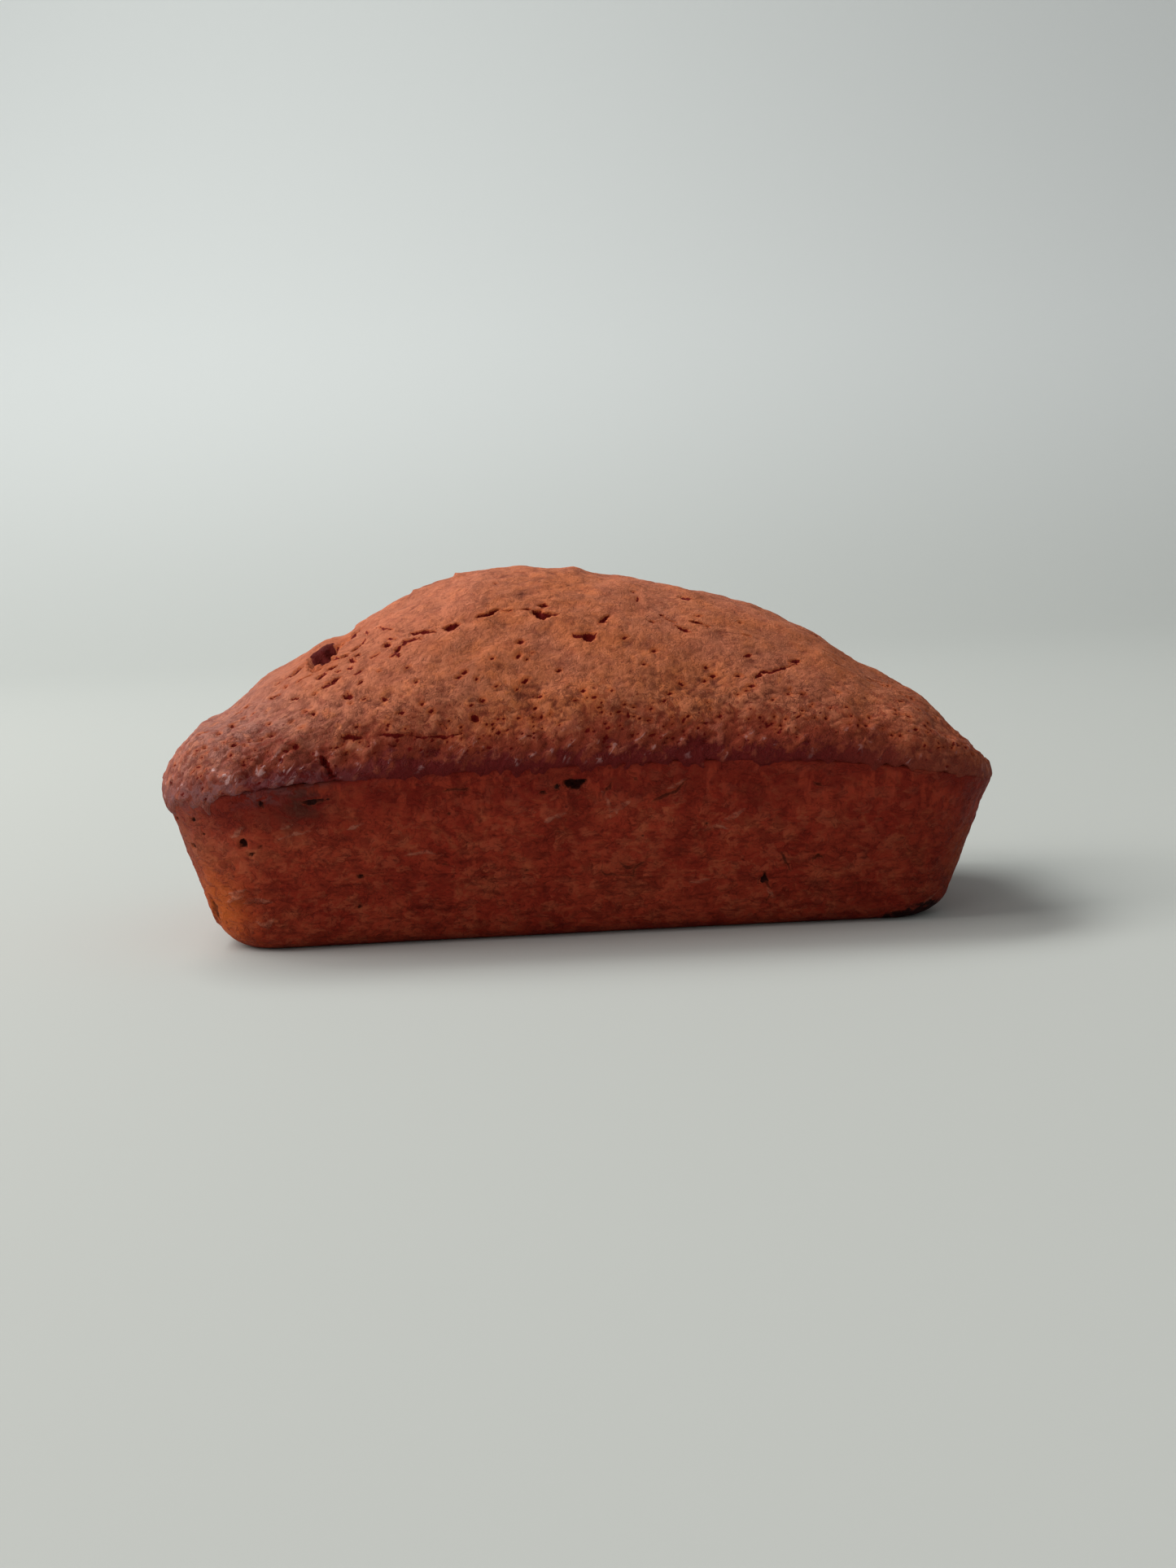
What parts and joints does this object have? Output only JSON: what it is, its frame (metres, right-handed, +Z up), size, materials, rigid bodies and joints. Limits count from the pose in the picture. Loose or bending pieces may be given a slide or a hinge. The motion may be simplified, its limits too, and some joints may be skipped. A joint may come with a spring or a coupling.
{
  "type": "banana bread loaf",
  "caption": "Uncut banana bread loaf from a tin, with a high domed crust, a rough dark rim, tapered sides and a flat base.",
  "frame": {"origin": "middle of the flat base the loaf rests on", "axes": "+X along the length, towards the lower end of the rim; -Y the long side that has the torn hollow and the cracks; +Z up"},
  "size_m": [0.2412, 0.1248, 0.1054],
  "materials": {
    "crust": "matt reddish brown baked crust, browner and smoother on the sides, with pores, cracks and a dark rim"
  },
  "bodies": {
    "root": {"loaf": "crust"}
  },
  "joints": []
}
